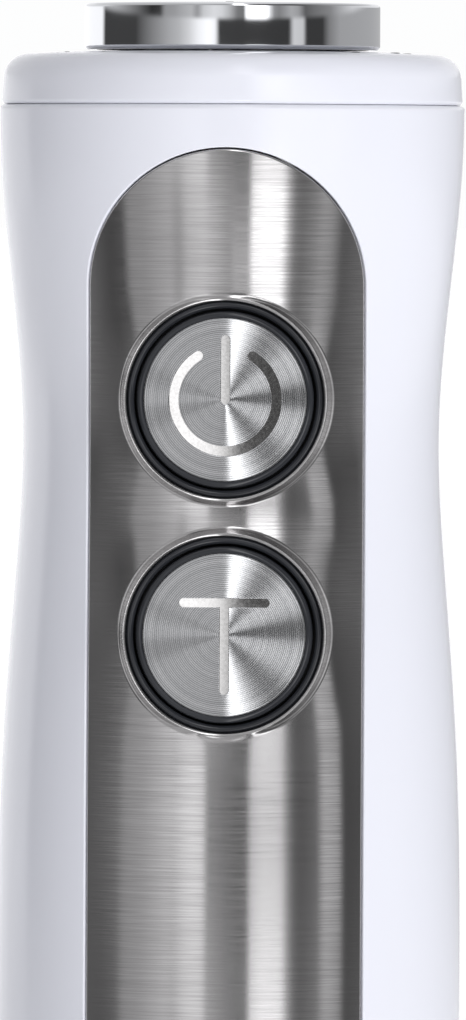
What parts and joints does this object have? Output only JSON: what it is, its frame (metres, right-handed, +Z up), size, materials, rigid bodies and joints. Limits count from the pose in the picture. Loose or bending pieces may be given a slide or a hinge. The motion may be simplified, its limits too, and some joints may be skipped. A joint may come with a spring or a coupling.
{
  "type": "immersion blender",
  "caption": "Hand-held immersion blender with a white waisted motor handle, chrome speed dial, steel button panel and a detachable steel foot with an S-shaped blade.",
  "frame": {"origin": "centre of the bell's rim, in the plane on which the blender stands", "axes": "+Z up the drive axis from the bell to the dial, -Y the side with the panel and buttons, +X to the right of that side"},
  "size_m": [0.0658, 0.0658, 0.3908],
  "materials": {
    "white_shell": "glossy white moulded plastic",
    "button_black": "glossy black plastic",
    "panel_steel": "fine horizontal brushing",
    "foot_steel": "satin stainless steel",
    "dial_chrome": "mirror polish",
    "disc_aluminium": "fine turned rings",
    "blade_steel": "ground steel",
    "shaft_steel": "ground steel",
    "grey_plastic": "plain moulding",
    "white_plastic": "plain moulding",
    "black_rubber": "soft matt",
    "bronze": "sintered",
    "copper": "enamelled wire",
    "lamination": "stacked sheet",
    "zinc": "die cast",
    "carbon": "graphite",
    "board_green": "circuit board",
    "zinc_screw": "zinc plated",
    "capacitor_yellow": "moulded case",
    "lead_red": "insulation"
  },
  "bodies": {
    "foot": {"bell_guard": "foot_steel", "foot_tube": "foot_steel", "foot_core": "grey_plastic", "tube_seal": "black_rubber", "lower_bush": "bronze", "upper_bush": "bronze", "shaft_seal": "black_rubber"},
    "handle": {"housing_front": "white_shell", "housing_rear": "white_shell", "top_cap": "white_shell", "front_panel": "panel_steel", "trim_ring": "foot_steel", "socket_sleeve": "grey_plastic", "latch_ring": "white_plastic", "speed_potentiometer": "zinc", "potentiometer_nut": "zinc_screw", "button_bezels": "button_black", "control_board": "board_green", "board_screws": "zinc_screw", "button_switches": "grey_plastic", "heat_sink": "zinc", "triac": "button_black", "suppression_capacitor": "capacitor_yellow", "cord_grommet": "black_rubber", "cord_clamp": "grey_plastic", "clamp_screws": "zinc_screw", "housing_screws": "zinc_screw", "motor_stator": "lamination", "field_coils": "copper", "lower_bracket": "zinc", "upper_bracket": "white_plastic", "motor_bearings": "bronze", "brush_holders": "bronze", "carbon_brushes": "carbon", "brush_springs": "shaft_steel", "motor_mounts": "black_rubber", "motor_screws": "zinc_screw", "lead_wires": "lead_red", "power_spring": "shaft_steel", "turbo_spring": "shaft_steel"},
    "rotor": {"motor_shaft": "shaft_steel", "armature_core": "lamination", "armature_winding": "copper", "commutator": "copper", "cooling_fan": "white_plastic", "drive_coupling": "grey_plastic"},
    "blade_drive": {"blade_shaft": "shaft_steel", "blade": "blade_steel", "blade_nut": "blade_steel", "blade_spacer": "shaft_steel", "foot_coupling": "white_plastic"},
    "dial": {"speed_dial": "dial_chrome", "dial_hub": "grey_plastic", "potentiometer_shaft": "shaft_steel"},
    "power_button": {"power_button": "button_black", "power_disc": "disc_aluminium"},
    "turbo_button": {"turbo_button": "button_black", "turbo_disc": "disc_aluminium"},
    "release_left": {"release_button_left": "button_black"},
    "release_right": {"release_button_right": "button_black"}
  },
  "joints": [
    {"name": "handle_lift", "type": "slide", "parent": "foot", "child": "handle", "axis": [0, 0, 1], "range_m": [0, 0.06], "deforming": ["latch_ring"]},
    {"name": "rotor_spin", "type": "hinge", "parent": "handle", "child": "rotor", "pos_m": [0, 0, 0.246], "axis": [0, 0, 1], "continuous": true},
    {"name": "blade_spin", "type": "hinge", "parent": "foot", "child": "blade_drive", "pos_m": [0, 0, 0.1], "axis": [0, 0, 1], "continuous": true},
    {"name": "speed_turn", "type": "hinge", "parent": "handle", "child": "dial", "pos_m": [0, 0, 0.38], "axis": [0, 0, 1], "range_deg": [-135, 135]},
    {"name": "power_press", "type": "slide", "parent": "handle", "child": "power_button", "axis": [0, 1, 0], "range_m": [0, 0.0015], "stiffness_N_per_m": 800, "springref_m": -0.001, "deforming": ["power_spring"]},
    {"name": "turbo_press", "type": "slide", "parent": "handle", "child": "turbo_button", "axis": [0, 1, 0], "range_m": [0, 0.0015], "stiffness_N_per_m": 800, "springref_m": -0.001, "deforming": ["turbo_spring"]},
    {"name": "release_press_left", "type": "slide", "parent": "handle", "child": "release_left", "axis": [1, 0, 0], "range_m": [0, 0.0015], "stiffness_N_per_m": 800, "springref_m": -0.001, "deforming": ["latch_ring"]},
    {"name": "release_press_right", "type": "slide", "parent": "handle", "child": "release_right", "axis": [-1, 0, 0], "range_m": [0, 0.0015], "stiffness_N_per_m": 800, "springref_m": -0.001, "deforming": ["latch_ring"]}
  ],
  "couplings": [
    {"joint": "blade_spin", "follows": "rotor_spin", "ratio": 1}
  ]
}
